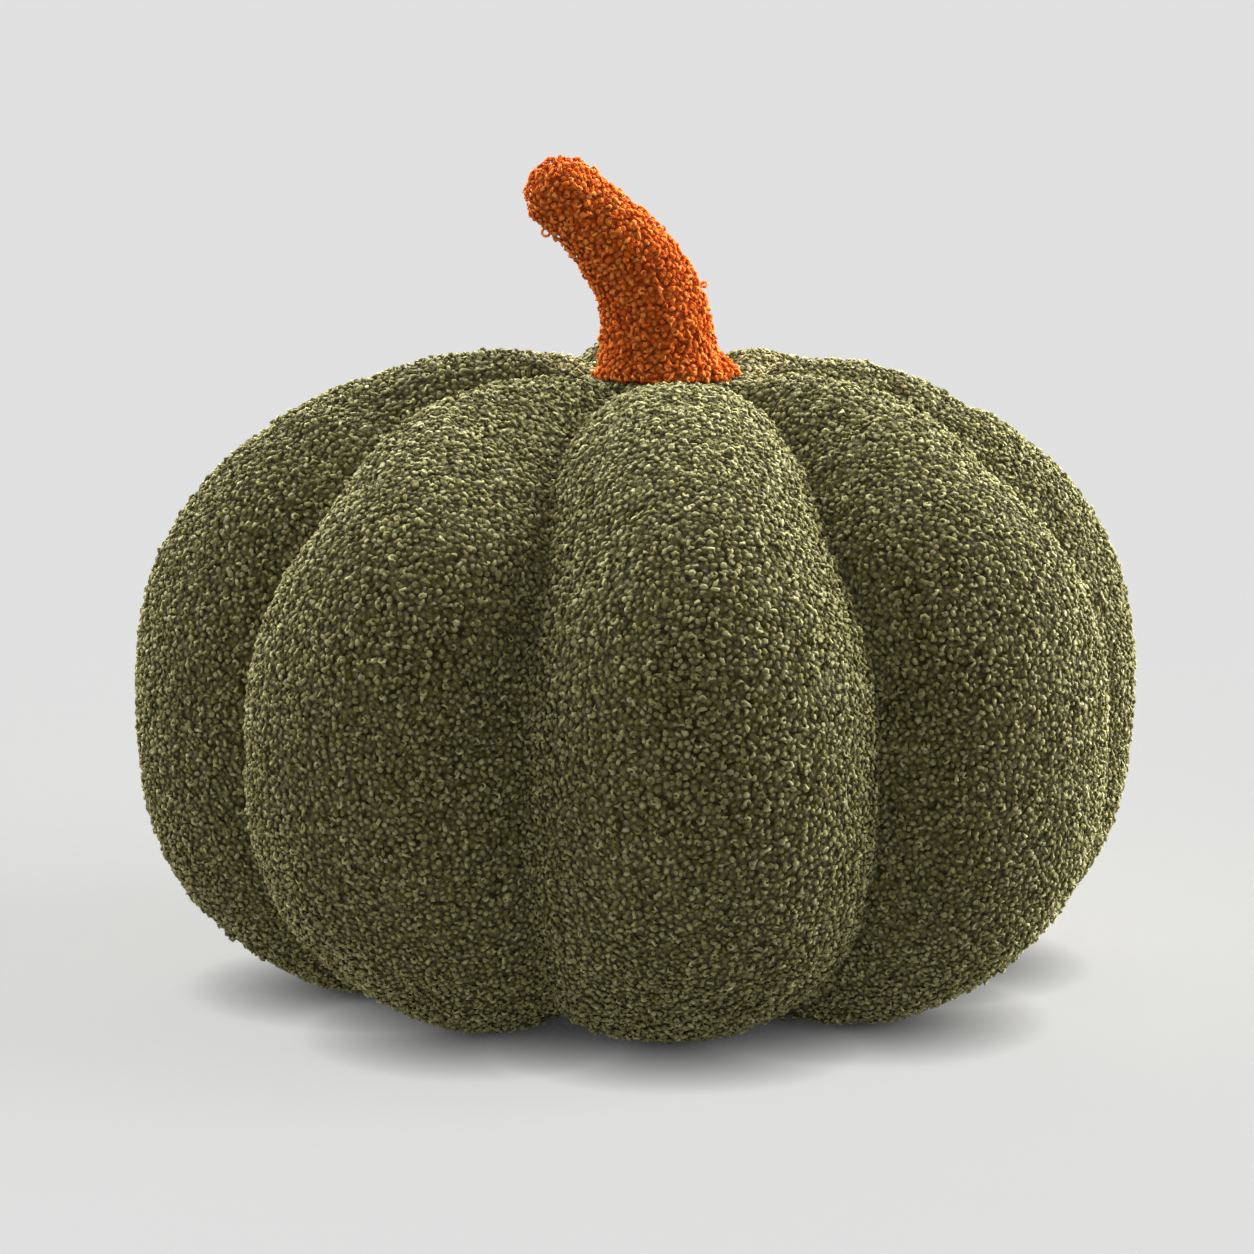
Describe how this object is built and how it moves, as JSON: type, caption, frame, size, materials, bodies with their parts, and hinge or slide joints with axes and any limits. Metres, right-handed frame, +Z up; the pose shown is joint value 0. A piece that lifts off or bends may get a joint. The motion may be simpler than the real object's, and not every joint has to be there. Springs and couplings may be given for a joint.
{
  "type": "pumpkin cushion",
  "caption": "Round stuffed cushion in curly pile cloth, its deep lobes sewn like a pumpkin's, with a bent stuffed stem on the crown.",
  "frame": {"origin": "on the surface it rests on, under the middle of the cushion's bounding box", "axes": "+Z up, the pictured front towards -Y, and the stem bends towards -X"},
  "size_m": [0.4, 0.4006, 0.3326],
  "materials": {
    "green_pile": "matt curly pile",
    "orange_pile": "matt curly pile"
  },
  "bodies": {
    "root": {"pumpkin_body": "green_pile", "stem": "orange_pile"}
  },
  "joints": []
}
